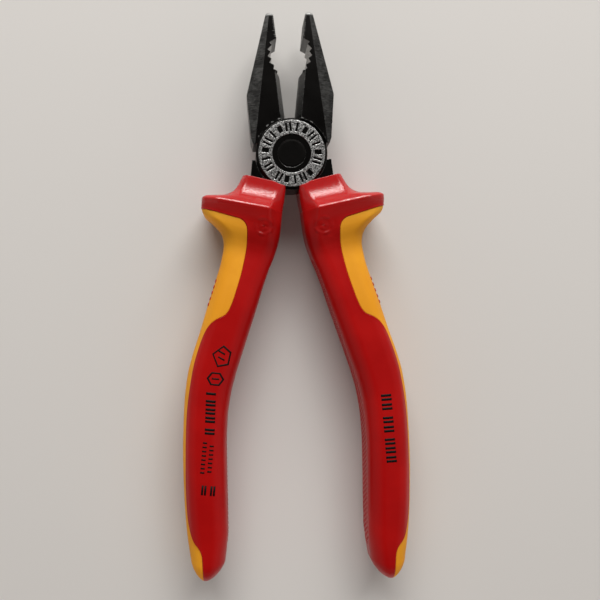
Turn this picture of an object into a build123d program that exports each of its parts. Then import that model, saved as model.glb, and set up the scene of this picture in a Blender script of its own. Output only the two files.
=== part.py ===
"""Insulated combination pliers, about 180 mm long when closed, opened as they lie in use.

Two drop-forged levers are lapped on a rivet. Each lever carries a jaw at one side and
a handle tang at the other, and the second lever is the first one turned half a turn
about the long axis. Each tang sits in a moulded grip of two plastics: a red body and
a softer yellow zone on the outer side.

Units are millimetres. The origin is on the rivet's axis, in the plane of the joint's
back face. +Z comes out of the joint's front face, +Y points to the tips of the jaws
and +X to the side of the handle that belongs to the front lever.
"""
from math import atan2, cos, degrees, pi, radians, sin
import os

from build123d import *

# Joint
JOINT_THICKNESS = 11.5
HALF_JOINT = JOINT_THICKNESS / 2
LAP_CLEARANCE = 0.06          # axial play between the two lapped lobes
LOBE_RADIUS = 11.05
LOBE_CHAMFER = 0.85
SEAM_WIDTH = 0.2              # radial play round each lobe
BOSS_RADIUS = 6.0             # sunk centre of each lobe
BOSS_DEPTH = 0.3
RIVET_RADIUS = 3.2
RIVET_HEAD_RADIUS = 4.3
RIVET_HEAD_DEPTH = 1.1
RIVET_CROWN = 0.05
RIVET_ROUNDING = 0.5          # width of the slope round each head
RIVET_PLAY = 0.05             # radial running clearance in the back lever
HALF_OPENING = 6.4            # degrees that each lever is open at rest

# Marks cut into the flat ring of each lobe: plain bars and blocks
MARK_RADIUS = 8.1
MARK_LENGTH = 2.8
MARK_WIDTH = 0.7
MARK_PITCH = 1.25             # between the two bars of a pair
BLOCK_LENGTH = 2.2
BLOCK_WIDTH = 1.5
MARK_DEPTH = 0.25
UPPER_MARKS = (13, -24, 204)  # how many, first angle, last angle
LOWER_MARKS = (5, 234, 306)

# Jaw, with the pliers closed: x from the centre line, y from the rivet
JAW_HALF_ROOT = 5.3           # half thickness at JAW_ROOT_Y
JAW_HALF_TIP = 5.0            # half thickness at JAW_TIP_Y
JAW_ROOT_Y = 8.0
JAW_TIP_Y = 44.0
CLOSED_GAP = 0.07             # each jaw's distance from the centre line when closed
RELIEF_GAP = 0.3              # the same at the joint and at the tip's corner
CORNER_CUT = 0.5              # slanted corners of the tip
TIP_BREAK = 0.45              # sloped edge between the tip's end and the flat
JAW_TIP_WIDTH = 2.5
JAW_CORNER = (11.35, 20.0)
JAW_HIP = (11.76, 6.25)
JAW_HEEL = (11.36, 4.4)
HEEL_INNER_X = 6.0
FACET_ROOT = (10.4, 5.9)      # ridge between the flat and the outer facet
FACET_TIP = (3.45, 34.9)
FACET_DROP = 1.5
CUTTER_Y = (13.0, 25.0)
CUTTER_RUN_OUT = 0.6          # slope between the cutter and the relief at the joint
CUTTER_END = (0.88, 25.7)
CUTTER_BEVEL = 1.35           # width of the ground bevel on the flat
CUTTER_EDGE = (0.5, 1.5)      # width and half height of the steeper bevel at the edge
CUTTER_LAND = 0.35            # half height of the cutting edge's land
BEVEL_Y = (9.0, 25.8)         # how far the bevels were ground
PIPE_GRIP_END_Y = 35.87
PIPE_GRIP_MIDDLE_Y = 30.8
PIPE_GRIP_DEPTH = 3.45
PIPE_GRIP_BEND = 0.0714       # how fast the oval gets shallower away from its middle
NOTCH_FIRST_Y = 34.92
NOTCH_PITCH = 2.08
NOTCHES = 5
TOOTH_STEP = 0.95             # from a notch down to the next tooth
TOOTH_HEIGHT = 1.0
SERRATION_Y = (36.3, 43.2)
SERRATION_DEPTH = 0.5
SERRATIONS = 12

# Shoulder and tang, closed: x from the centre line, y from the rivet
SHOULDER_X = (2.9, 11.9)
SHOULDER_Y = (-12.5, -3.1)
SHOULDER_HALF = 5.0
SHOULDER_BREAK = (5.0, -6.0)  # x on its top edge and y on its inner edge of the cut corner
TANG_HALF = 3.5
TANG_STATIONS = (             # y, inner x, outer x
    (-9.0, 3.4, 12.2),
    (-24.0, 4.6, 12.8),
    (-36.0, 6.8, 14.2),
    (-48.0, 9.4, 16.6),
    (-60.0, 12.0, 18.8),
    (-75.0, 14.6, 20.9),
    (-90.0, 15.2, 20.9),
    (-105.0, 13.7, 18.9),
    (-117.0, 12.3, 16.7),
)
TANG_END_RADIUS = 2.0

# Grip, closed: y, inner x, outer x, half height, corner radius
GRIP_HEAD_STATIONS = (
    (-7.6, 1.0, 14.3, 6.9, 1.6),
    (-12.7, 0.8, 16.7, 7.6, 2.2),
    (-14.4, 0.8, 19.4, 8.6, 3.0),
    (-15.7, 0.85, 25.7, 9.9, 4.0),
    (-17.4, 0.95, 26.2, 10.8, 4.2),
    (-19.5, 1.0, 26.2, 9.6, 4.0),
    (-21.4, 1.0, 25.3, 8.4, 3.4),
    (-23.5, 1.0, 22.5, 7.8, 3.2),
    (-26.0, 1.1, 19.65, 7.7, 3.1),
)
GRIP_HANDLE_STATIONS = (
    (-26.0, 1.1, 19.65, 7.7, 3.1),
    (-30.6, 1.95, 18.4, 7.7, 3.1),
    (-38.0, 4.0, 19.3, 8.0, 3.1),
    (-48.0, 6.2, 21.4, 8.3, 3.1),
    (-60.0, 8.6, 23.9, 8.4, 3.1),
    (-74.0, 11.4, 26.0, 8.4, 3.1),
    (-88.0, 11.7, 25.5, 8.2, 3.1),
    (-100.0, 10.6, 24.5, 8.0, 3.1),
    (-112.0, 9.15, 22.8, 7.6, 3.0),
    (-122.0, 8.2, 21.0, 6.9, 2.8),
    (-129.0, 8.8, 19.1, 5.8, 2.4),
    (-133.2, 10.5, 17.2, 4.0, 1.8),
    (-135.1, 12.4, 15.3, 2.2, 0.9),
)
COLLAR_TOP = ((1.0, -9.7), (14.3, -8.1))
COLLAR_NOTCH_RADIUS = 11.35   # clears both lobes
COLLAR_NOTCH_HALF = 5.95      # the collar's thin lips reach over the lobes' sloped rims
COLLAR_LIP_RADIUS = 10.35
SLEEVE_WALL = 1.8             # red plastic between the tang and the yellow zone

# Edge between the red body and the yellow zone
ZONE_SHOULDER = ((26.2, -19.5), (13.5, -21.8), (11.75, -23.0))
ZONE_CURVE = (
    (11.05, -27.9),
    (11.5, -35.0),
    (12.9, -42.9),
    (14.8, -49.5),
    (18.8, -53.1),
    (21.1, -56.9),
    (22.5, -62.3),
    (23.8, -70.5),
    (24.2, -82.0),
    (23.1, -99.3),
    (21.4, -113.6),
    (19.8, -119.7),
    (16.2, -124.2),
    (15.4, -127.7),
    (14.4, -135.3),
)

# Red bars that stand through the yellow zone on the outer side
BAR_COUNT = 5
BAR_FIRST_Y = -41.4
BAR_PITCH = 1.85
BAR_LENGTH = 1.2
BAR_HEIGHT = 5.6
BAR_PROUD = 0.2
BAR_INNER_X = 13.0

FAR = 200.0                   # larger than the object


def half_space(plane):
    """A block that fills everything on the side the plane's normal points to."""
    return plane * Box(FAR, FAR, FAR, align=(Align.CENTER, Align.CENTER, Align.MIN))


def plate(points, low, high):
    """A straight-edged outline extruded from one height to another."""
    outline = make_face(Polyline(*points, close=True))
    return Pos(0, 0, low) * extrude(outline, high - low)


def both_sides(solid):
    """The solid and its mirror image in the mid-plane."""
    return solid + mirror(solid, about=Plane.XY)


def disc(radius, low, high):
    """A round bar on the rivet's axis."""
    return Pos(0, 0, low) * Cylinder(radius, high - low, align=(Align.CENTER, Align.CENTER, Align.MIN))


def jaw_half_thickness(y):
    """Half the thickness of the jaw's flat at a distance from the rivet."""
    along = (y - JAW_ROOT_Y) / (JAW_TIP_Y - JAW_ROOT_Y)
    return JAW_HALF_ROOT + along * (JAW_HALF_TIP - JAW_HALF_ROOT)


def pipe_grip_points():
    """Coarse teeth in the oval recess, from the cutter towards the tip."""
    points = [CUTTER_END]
    for index in reversed(range(NOTCHES)):
        notch_y = NOTCH_FIRST_Y - index * NOTCH_PITCH
        tooth_y = notch_y - TOOTH_STEP
        if index < NOTCHES - 1:
            points.append((pipe_grip_depth(tooth_y) - TOOTH_HEIGHT, tooth_y))
        points.append((pipe_grip_depth(notch_y), notch_y))
    points.append((CLOSED_GAP, PIPE_GRIP_END_Y))
    return points


def pipe_grip_depth(y):
    """Depth of the oval recess at a distance from the rivet."""
    return PIPE_GRIP_DEPTH - PIPE_GRIP_BEND * (y - PIPE_GRIP_MIDDLE_Y) ** 2


def serration_points():
    """Fine teeth along the flat at the tip."""
    low, high = SERRATION_Y
    points = []
    for step in range(2 * SERRATIONS + 1):
        depth = SERRATION_DEPTH if step % 2 else 0.0
        points.append((CLOSED_GAP + depth, low + (high - low) * step / (2 * SERRATIONS)))
    return points


def bevel(low, high):
    """What is ground away in front of a slope from one (x, z) to another, along the cutter."""
    start = Vector(low[0], 0, low[1])
    slope = Vector(high[0], 0, high[1]) - start
    plane = Plane(origin=start, x_dir=(0, 1, 0), z_dir=slope.cross(Vector(0, 1, 0)))
    length = BEVEL_Y[1] - BEVEL_Y[0]
    span = Pos(0, BEVEL_Y[0] + length / 2, 0) * Box(FAR, length, FAR)
    return half_space(plane) & span


def jaw_outline():
    """Right-hand jaw's outline, from the joint up the inner side and down the outer side."""
    points = [(RELIEF_GAP, JAW_ROOT_Y), (RELIEF_GAP, CUTTER_Y[0] - CUTTER_RUN_OUT)]
    points += [(CLOSED_GAP, y) for y in CUTTER_Y]
    points += pipe_grip_points()
    points += serration_points()
    points += [(RELIEF_GAP, JAW_TIP_Y - CORNER_CUT), (RELIEF_GAP + CORNER_CUT, JAW_TIP_Y)]
    points += [(JAW_TIP_WIDTH - CORNER_CUT, JAW_TIP_Y), (JAW_TIP_WIDTH, JAW_TIP_Y - CORNER_CUT)]
    points += [JAW_CORNER, JAW_HIP, JAW_HEEL, (HEEL_INNER_X, JAW_HEEL[1])]
    return points


def jaw():
    """Right-hand jaw of closed pliers, with its heel inside the joint."""
    body = plate(jaw_outline(), -HALF_JOINT, HALF_JOINT)

    slope = (JAW_HALF_TIP - JAW_HALF_ROOT) / (JAW_TIP_Y - JAW_ROOT_Y)
    flat = Plane(origin=(0, JAW_ROOT_Y, JAW_HALF_ROOT), x_dir=(1, 0, 0), z_dir=(0, -slope, 1))

    root = Vector(*FACET_ROOT, jaw_half_thickness(FACET_ROOT[1]))
    tip = Vector(*FACET_TIP, jaw_half_thickness(FACET_TIP[1]))
    edge = Vector(*JAW_CORNER, jaw_half_thickness(JAW_CORNER[1]) - FACET_DROP)
    facet = Plane(origin=root, x_dir=tip - root, z_dir=(edge - root).cross(tip - root))

    tip_edge = Vector(0, JAW_TIP_Y - TIP_BREAK, jaw_half_thickness(JAW_TIP_Y))
    end = Plane(origin=tip_edge, x_dir=(1, 0, 0), z_dir=(0, 1, 1))

    cuts = half_space(flat) + half_space(facet) + half_space(end)
    cuts += bevel((CLOSED_GAP, CUTTER_LAND), CUTTER_EDGE)
    cuts += bevel(CUTTER_EDGE, (CUTTER_BEVEL, JAW_HALF_ROOT))
    return body - both_sides(cuts)


def tang_outline(margin):
    """Outline of the tapered steel bar inside the grip, or a wall's width outside it."""
    inner = [(x - margin, y) for y, x, _ in TANG_STATIONS]
    outer = [(x + margin, y) for y, _, x in TANG_STATIONS]
    inner[-1] = (inner[-1][0], inner[-1][1] - margin)
    outer[-1] = (outer[-1][0], outer[-1][1] - margin)
    inner_edge = Spline(*inner)
    outer_edge = Spline(*outer)
    top = Line(outer[0], inner[0])
    bottom = Line(inner[-1], outer[-1])
    return make_face([inner_edge, bottom, outer_edge, top])


def tang():
    """Shoulder block below the joint, and the bar that carries the grip."""
    low, high = SHOULDER_Y
    inner, outer = SHOULDER_X
    corner_x, corner_y = SHOULDER_BREAK
    outline = [(inner, low), (outer, low), (outer, high), (corner_x, high), (inner, corner_y)]
    block = plate(outline, -SHOULDER_HALF, SHOULDER_HALF)
    bar = Pos(0, 0, -TANG_HALF) * extrude(tang_outline(0.0), 2 * TANG_HALF)
    ends = bar.edges().filter_by(Axis.Z).sort_by(Axis.Y)[:2]
    return block + fillet(ends, TANG_END_RADIUS)


def ring_mark(index, angle):
    """One cut of the lobe's ring: a pair of bars, a block or a single bar, in turn."""
    bar = Box(MARK_LENGTH, MARK_WIDTH, 2 * MARK_DEPTH)
    if index % 3 == 0:
        cut = Pos(0, MARK_PITCH / 2, 0) * bar + Pos(0, -MARK_PITCH / 2, 0) * bar
    elif index % 3 == 1:
        cut = Box(BLOCK_LENGTH, BLOCK_WIDTH, 2 * MARK_DEPTH)
    else:
        cut = bar
    return Rot(0, 0, angle) * Pos(MARK_RADIUS, 0, HALF_JOINT) * cut


def lobe():
    """Round half of the joint, with its marked ring and sunk centre."""
    body = disc(LOBE_RADIUS, LAP_CLEARANCE / 2, HALF_JOINT)
    body = chamfer(body.edges().group_by(Axis.Z)[-1], LOBE_CHAMFER)
    body -= disc(BOSS_RADIUS, HALF_JOINT - BOSS_DEPTH, HALF_JOINT)
    for count, first, last in (UPPER_MARKS, LOWER_MARKS):
        for index in range(count):
            body -= ring_mark(index, first + (last - first) * index / (count - 1))
    return body


def rivet_shape(play):
    """The rivet about its own axis, or the hole that it turns in with some play."""
    face = HALF_JOINT - BOSS_DEPTH
    shank = RIVET_RADIUS + play
    head = RIVET_HEAD_RADIUS + play
    neck = face - RIVET_HEAD_DEPTH
    crown = face + RIVET_CROWN
    half = [(0, 0), (shank, 0), (shank, neck), (head, face), (head - RIVET_ROUNDING, crown), (0, crown)]
    profile = make_face(Polyline(*[(x, 0, z) for x, z in half], close=True))
    return both_sides(revolve(profile, Axis.Z, 360))


def lever(play):
    """Front lever of closed pliers: left jaw, front lobe and right tang."""
    arms = mirror(jaw(), about=Plane.YZ) + tang()
    seam = LOBE_RADIUS + SEAM_WIDTH
    body = arms - disc(seam, -FAR, FAR)
    body += arms & disc(seam, LAP_CLEARANCE / 2, HALF_JOINT)
    body += lobe()
    return body - rivet_shape(play)


def section(station):
    """Rounded rectangle across the grip at one station."""
    y, inner, outer, half_height, corner = station
    plane = Plane(origin=((inner + outer) / 2, y, 0), x_dir=(1, 0, 0), z_dir=(0, -1, 0))
    return plane * RectangleRounded(outer - inner, 2 * half_height, corner)


def grip_form():
    """Outer shape of a right-hand grip: collar, guard and handle."""
    head = loft([section(station) for station in GRIP_HEAD_STATIONS], ruled=True)
    handle = loft([section(station) for station in GRIP_HANDLE_STATIONS])
    low, high = COLLAR_TOP
    tilt = degrees(atan2(high[1] - low[1], high[0] - low[0]))
    top = Plane(origin=(low[0], low[1], 0), x_dir=(cos(radians(tilt)), sin(radians(tilt)), 0),
                z_dir=(-sin(radians(tilt)), cos(radians(tilt)), 0))
    notch = disc(COLLAR_NOTCH_RADIUS, -COLLAR_NOTCH_HALF, COLLAR_NOTCH_HALF)
    notch += disc(COLLAR_LIP_RADIUS, -FAR, FAR)
    return head + handle - half_space(top) - notch


def zone_region():
    """Everything outside the edge between the two plastics, over the full height."""
    shoulder = Polyline((FAR, ZONE_SHOULDER[0][1]), *ZONE_SHOULDER)
    curve = Spline(ZONE_SHOULDER[-1], *ZONE_CURVE)
    close = Polyline(ZONE_CURVE[-1], (ZONE_CURVE[-1][0], -FAR), (FAR, -FAR), (FAR, ZONE_SHOULDER[0][1]))
    return Pos(0, 0, -FAR) * extrude(make_face([shoulder, curve, close]), 2 * FAR)


def sleeve():
    """The red plastic that always stays between the tang and the yellow zone."""
    half = TANG_HALF + SLEEVE_WALL
    return Pos(0, 0, -half) * extrude(tang_outline(SLEEVE_WALL), 2 * half)


def outer_edge_x(y):
    """Where the grip's outer side lies at a place between two stations."""
    stations = GRIP_HANDLE_STATIONS
    for above, below in zip(stations, stations[1:]):
        if below[0] <= y <= above[0]:
            share = (above[0] - y) / (above[0] - below[0])
            return above[2] + share * (below[2] - above[2])
    raise ValueError("no grip at that place")


def bars():
    """Short red bars in a row along the outer side."""
    row = []
    for index in range(BAR_COUNT):
        y = BAR_FIRST_Y - index * BAR_PITCH
        outer = outer_edge_x(y) + BAR_PROUD
        row.append(Pos((BAR_INNER_X + outer) / 2, y, 0) * Box(outer - BAR_INNER_X, BAR_LENGTH, BAR_HEIGHT))
    return row


def grip():
    """Red body and yellow zone of a right-hand grip, closed."""
    form = grip_form()
    zone = (form & zone_region()) - sleeve()
    red = form - zone
    for bar in bars():
        zone -= bar
        red += bar
    steel = tang()
    return red - steel, zone - steel


def turned(solid):
    """The same shape turned half a turn about the long axis."""
    return Rot(0, 180, 0) * solid


def placed(solid, side):
    """Opened by half the rest opening and lifted on to the joint's back face."""
    return Pos(0, 0, HALF_JOINT) * Rot(0, 0, side * HALF_OPENING) * solid


def main():
    """Build every piece and write it under its own name."""
    red, yellow = grip()
    pieces = {
        "front_lever": placed(lever(0.0), 1),
        "back_lever": placed(turned(lever(RIVET_PLAY)), -1),
        "pivot_rivet": placed(rivet_shape(0.0), 1),
        "right_grip_body": placed(red, 1),
        "right_soft_zone": placed(yellow, 1),
        "left_grip_body": placed(turned(red), -1),
        "left_soft_zone": placed(turned(yellow), -1),
    }
    os.makedirs("parts", exist_ok=True)
    for name, solid in pieces.items():
        export_step(solid, f"parts/{name}.step")


main()
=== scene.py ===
"""Looks of the insulated combination pliers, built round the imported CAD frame.

The steel levers and the rivet are the CAD nodes with detailed materials. The grips are
finer meshes that stand for the CAD grips. Named sizes are in millimetres unless they say
otherwise. Those of the grips are for the closed pliers: x from the centre line, y from
the rivet, z from the levers' mid-plane. Those of the steel's finishes are for the pliers
at rest, in the frame's own axes.
"""
import math

import bmesh
import bpy
import numpy as np
from mathutils import Matrix, Vector
from mathutils.bvhtree import BVHTree


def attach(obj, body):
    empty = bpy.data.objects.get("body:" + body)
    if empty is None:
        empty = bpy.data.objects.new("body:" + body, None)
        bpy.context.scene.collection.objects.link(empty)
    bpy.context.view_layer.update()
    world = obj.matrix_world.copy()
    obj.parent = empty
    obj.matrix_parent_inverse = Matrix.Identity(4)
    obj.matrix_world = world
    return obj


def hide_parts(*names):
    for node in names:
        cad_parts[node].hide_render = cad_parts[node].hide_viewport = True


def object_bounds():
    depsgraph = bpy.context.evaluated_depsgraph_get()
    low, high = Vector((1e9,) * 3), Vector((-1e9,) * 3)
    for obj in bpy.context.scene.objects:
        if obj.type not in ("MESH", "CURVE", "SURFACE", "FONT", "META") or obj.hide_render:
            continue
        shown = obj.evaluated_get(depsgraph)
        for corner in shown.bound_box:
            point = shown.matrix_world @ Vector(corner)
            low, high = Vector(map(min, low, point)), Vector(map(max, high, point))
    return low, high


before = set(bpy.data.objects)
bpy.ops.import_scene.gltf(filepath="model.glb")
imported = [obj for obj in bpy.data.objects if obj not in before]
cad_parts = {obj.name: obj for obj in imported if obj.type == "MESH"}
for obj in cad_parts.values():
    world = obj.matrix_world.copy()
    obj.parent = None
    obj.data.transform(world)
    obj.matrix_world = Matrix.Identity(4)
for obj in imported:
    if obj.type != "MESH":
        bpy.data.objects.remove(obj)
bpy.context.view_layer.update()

MM = 0.001
HALF_JOINT = 5.75             # half the lap joint, and the mid-plane's height
HANDS = ((1, "right", "front_half"), (-1, "left", "back_half"))
HALF_OPENING = math.radians(6.4)    # turn of each half at rest
TINY = 1e-9                   # keeps a division away from zero

# Camera, straight above the left handle
CAMERA_HEIGHT = 193.5
CAMERA_XY = (-14.9, -45.05)
LOOK_X = 3.05                 # lies at the middle of the picture's width
FRAME_WIDTH = 189.6
IMAGE_ROLL = math.radians(1.0)

# Grip: (station, value) keys along the handle. A station is the distance down the handle
# at which its section crosses the handle's middle.
TOP_STATION = 8.9
CAP_STATION = 128.0           # the rounded end starts here
END_STATION = 135.2
INNER_X = (
    (8.9, 0.8), (13.2, 0.8), (17.3, 1.05), (21.2, 1.05), (25.7, 1.35), (30.7, 2.35),
    (35.2, 3.6), (40.4, 4.8), (48.0, 6.35), (54.7, 7.8), (61.4, 9.2), (68.6, 10.7),
    (75.1, 11.6), (82.2, 11.95), (89.0, 11.7), (102.1, 10.4), (115.1, 8.9), (121.3, 8.3),
    (128.0, 8.45),
)
OUTER_X = (
    (8.9, 14.3), (13.5, 16.6), (15.3, 19.3), (16.7, 25.3), (17.6, 26.1), (21.8, 26.15),
    (23.5, 25.4), (25.4, 22.6), (27.7, 19.9), (29.6, 18.85), (32.2, 18.4), (36.1, 18.7),
    (43.6, 20.1), (49.6, 21.4), (59.3, 23.35), (66.0, 24.85), (72.0, 25.8), (77.8, 26.05),
    (89.7, 25.45), (107.6, 23.4), (120.4, 21.2), (128.0, 19.4),
)
SECTION_SLOPE = (
    (8.9, 0.124), (17.4, 0.087), (21.8, 0.181), (30.0, 0.2), (50.0, 0.21), (66.0, 0.17),
    (78.0, 0.08), (89.0, 0.0), (102.0, -0.08), (115.0, -0.1), (128.0, -0.04), (135.2, 0.0),
)
FACE_HEIGHT = (
    (8.9, 6.85), (11.0, 6.95), (13.1, 7.35), (14.9, 8.4), (16.2, 9.72), (16.75, 10.24),
    (17.05, 10.46), (17.4, 10.6), (17.55, 10.61), (17.75, 10.52), (21.3, 8.3), (22.0, 8.12),
    (24.4, 8.0), (26.0, 7.75), (29.2, 6.98), (31.2, 6.78), (36.0, 7.05), (50.0, 8.05),
    (64.0, 8.4), (80.0, 8.4), (100.0, 8.05), (115.0, 7.6), (128.0, 6.6),
)
INNER_WALL = (
    (8.9, 6.05), (12.0, 5.7), (17.4, 5.0), (30.0, 4.9), (80.0, 5.2), (115.0, 4.7), (128.0, 3.6),
)
INNER_CHAMFER = ((8.9, 0.75), (12.0, 2.0), (17.4, 4.1), (21.8, 3.6), (27.0, 2.9), (128.0, 2.8))
OUTER_WALL = ((8.9, 5.0), (15.0, 6.0), (17.4, 8.0), (21.8, 6.2), (26.0, 4.9), (128.0, 3.8))
OUTER_CHAMFER = ((8.9, 1.3), (14.0, 2.4), (17.4, 4.6), (21.8, 3.4), (27.0, 2.9), (128.0, 2.8))
INNER_ROUNDING = ((8.9, 0.4), (17.4, 0.35), (21.8, 0.6), (27.0, 1.4), (36.0, 2.1), (128.0, 2.1))
OUTER_ROUNDING = ((8.9, 0.7), (17.4, 0.9), (21.8, 1.2), (27.0, 1.9), (128.0, 2.1))
WALL_ROUNDING = ((8.9, 1.2), (17.4, 1.6), (27.0, 2.0), (128.0, 2.0))
FACE_CROWN = 0.18
CROWN_EDGE = 6                # how sharply the crown stops at a face's edges
TIP_X = 14.3                  # the rounded end closes towards this x
END_WIDTH = (1.35, 0.68)      # powers that shape the rounded end's width
END_HEIGHT = (2, 0.5)         # and its height

# Edge between the red body and the yellow zone, on the front and back faces
ZONE_TOP = 21.8
ZONE_ROOT = 18.5              # the zone's own solid starts here, inside the guard
ZONE_CORNER = 2.3
ZONE_X = (
    (21.8, 11.9), (26.0, 11.3), (30.0, 11.1), (35.5, 11.55), (43.6, 12.95), (49.6, 14.5),
    (51.4, 15.5), (53.6, 18.2), (55.2, 19.8), (57.9, 21.3), (63.0, 22.8), (70.6, 24.1),
    (81.0, 24.6), (98.6, 23.45), (112.8, 21.6), (118.6, 20.0), (120.8, 19.0), (123.6, 16.6),
    (125.2, 15.9), (128.0, 15.4), (135.2, 14.5),
)
# Relief across that edge: (distance inside the zone, height)
GROOVE_DEPTH = 0.3
ZONE_RECESS = 0.16
RED_EDGE = (
    (-0.60, 0), (-0.36, 0.06), (-0.20, 0.04), (-0.10, -0.06), (-0.04, -0.3), (0.0, -GROOVE_DEPTH),
)
ZONE_EDGE = (
    (-0.05, -0.9), (0.02, -GROOVE_DEPTH), (0.05, -0.26), (0.12, -ZONE_RECESS - 0.02),
    (0.30, -ZONE_RECESS),
)

# Mesh: steps away from the groove, columns over each stretch of a half section, and the
# sections as (from, to, step) along the handle
EDGE_STEPS = np.array([0.02, 0.05, 0.09, 0.14, 0.22, 0.36, 0.62])
EDGE_ROOM = 1.2               # the steps shrink where a stretch is shorter than this
WALL_COLUMNS = 15
WALL_SHARE = 0.92             # part of the flat wall that those columns cover
RED_COLUMNS = 34
ZONE_COLUMNS = 22
CORNER_POINTS = 9
CORNER_SHARE = 0.49           # most of a side that a rounded corner takes
EDGE_INSIDE = 1e-4            # keeps the zone's edge inside a narrow section
STATION_SPANS = (
    (8.9, 9.5, 0.12), (9.5, 16.4, 0.3), (16.4, 18.4, 0.08), (18.4, 21.2, 0.22),
    (21.2, 21.7, 0.06), (21.7, 22.1, 0.025), (22.1, 24.2, 0.1), (24.2, 50.0, 0.3),
    (50.0, 58.0, 0.2), (58.0, 118.0, 0.4), (118.0, 128.0, 0.25),
)
END_SECTIONS = 35             # over the rounded end

# Inner wall's anti-slip panel
PANEL_STATIONS = (31.0, 124.5)
PANEL_HALF = 3.9
PANEL_DEPTH = 0.22
PANEL_SLOPE = 0.35            # width of the panel's sloped rim
PANEL_REACH = 0.4             # the panel ends this far round the corner
DOT_PITCH = 1.5
DOT_ROWS = 1.3
DOT_RADIUS = 0.5
DOT_HEIGHT = 0.24
DOT_MARGIN = 0.7              # between the dots and the panel's edge

# Collar's end, cut back round the lobes; its thin lips lie over their sloped rims
COLLAR_TOP = ((1.4, -9.7), (14.3, -8.1))    # two places on the uncut end
COLLAR_MIDDLE = 8.0
COLLAR_RINGS = (0.35, 0.8, 0.97)            # sizes of the rings that close the end
NOTCH_RADIUS = 11.35
NOTCH_HALF = 5.95
NOTCH_STEP = 0.12             # height over which the notch ends below a lip
NOTCH_FADE = 4.5              # the cut has died away this far below the collar's end
NOTCH_POWER = 1.5
LIP_RADIUS = 10.35

# Thumb dish below the guard, with a plain knobbly ring and dot in it
THUMB_CENTRE = (7.2, -25.6)
THUMB_SIZE = (5.6, 6.0)
THUMB_DEPTH = 0.32
THUMB_SLOPE = 0.9             # share of the dish that its slope takes
EMBLEM_CENTRE = (6.5, -23.4)
EMBLEM_RING = (2.5, 0.7)      # radius and width
EMBLEM_DOT = 1.3
EMBLEM_HEIGHT = 0.22
RING_SOFT = 0.5
RING_KNOBS = (5, 0.4)         # how many, and how deep as a share of the height
DOT_SOFT = 0.7
DOT_KNOBS = (3, 0.3)
FACE_START = (4.6, 6.6)       # heights between which a face's relief sets in

# Red bars through the yellow zone on the outer side
BAR_COUNT = 5
BAR_FIRST = 41.4
BAR_PITCH = 1.85
BAR_SIZE = (2.4, 1.2, 8.6)
BAR_PROUD = 0.15
BAR_ROUNDING = 0.3

# Printed marks on the front faces. A bar's size is across and along the handle.
PRINT_THICKNESS = 0.05
STROKE = 0.5
PRINT_STEP = 0.5              # a bar has about this much between its corners
SIGN_STROKE = 2.2             # length of the strokes inside the outlined shapes
THICK_BAR = (3.0, 0.74)
FINE_BAR = (1.3, 0.5)
UPRIGHT_BAR = (0.62, 3.0)
PAIRED_BAR = (3.1, 0.74)
PENTAGON_AT = (15.5, -63.9)
PENTAGON = ((-2.9, 1.6), (-0.4, 3.5), (2.9, 0.6), (1.0, -3.3), (-2.4, -2.4))
PENTAGON_STROKES = (-0.6, 1.2)
PENTAGON_TURN = 25.0
HEXAGON_AT = (16.7, -70.8)
HEXAGON_RADII = (2.7, 2.3)
OUTLINE_INSET = 0.65          # width of an outline at its farthest corner
OUTLINE_STEPS = 8
THICK_X = 17.6
THICK_SLOPE = 0.06
THICK_BARS = (-75.4, -77.7, -78.8, -80.2, -81.3, -82.7, -83.8, -86.3, -87.4)
FINE_ROWS = ((15.9, -91.2, 7), (18.0, -90.4, 8))
FINE_PITCH = 1.3
UPRIGHT_BARS = (13.9, 14.8, 16.6, 17.5)
UPRIGHT_Y = -104.8
BAR_PAIRS = (-77.5, -80.3, -84.3, -87.1, -90.9, -93.5, -96.3)
PAIR_HALF = 0.6
PAIRS_X = 18.5
PAIRS_SLOPE = 0.042
PAIRS_TURN = -3.0
ABOVE_SKIN = 30.0             # the grip's faces are sounded from this height

# Plastic, with places as distances down the handle: the guards and the collars above them
# get painted light as a paler tone, the collars shine and sparkle, and a band below the
# guards gets painted shade as a darker tone
RUBBED_SHARE = 0.22
COLLAR_LIMIT = (18.6, 17.2)
# Painted light: the guards and the collars above them take part of the paler tone
GUARD_LIMIT = (23.5, 20.5)
GUARD_PAINTED_LIGHT = 0.45
COLLAR_ROUGH = 0.22
COLLAR_SHINE = (0.35, 1.3)
# Painted shade: a band below the guards is darkened towards the dark tone
PAINTED_SHADE_BAND = (23.5, 31.5)
PAINTED_SHADE_SOFT = 3.5
PAINTED_SHADE_SHARE = 0.5
PAINTED_SHADE_DARK = 0.5

# Steel. The limits say from where to where a finish sets in, along y unless said.
RING_RADII = (6.0, 10.2)
RING_SOFT_EDGE = 0.03
RING_DEPTH = (0.08, 0.03)     # below the joint face
# Painted highlight: pale grey on the arc round the lobes, on the side towards the tips
SEAM_RADII = (11.2, 11.6)
SEAM_SOFT_EDGE = 0.08
SEAM_FROM = (4.0, 7.0)
BEVELS_FROM = (11.8, 12.5)
TEETH_FROM = (25.0, 26.2)
SERRATION_FROM = (35.0, 36.0)
# Tip: worn bare metal, and a painted highlight
TIP_FROM = (42.4, 43.1)
INNER_STRIP = (3.6, 2.2)      # from the plane where the closed jaws meet
EDGE_RADIUS = 0.22
# Three corners of the right jaw's front outer facet, closed
FACET_ROOT = Vector((10.4, 5.9, 5.32))
FACET_TIP = Vector((3.45, 34.9, 5.08))
FACET_EDGE = Vector((11.35, 20.0, 3.70))
FACET_MATCH = (0.975, 0.992)  # how nearly a face must look the facet's way
# Waves per metre along the three axes
GRIND_WAVES = (600.0, 2600.0, 600.0)
SCRATCH_WAVES = (120.0, 1800.0, 120.0)
SCRATCH_TURN = (0, 0, 0.5)    # radians
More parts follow.
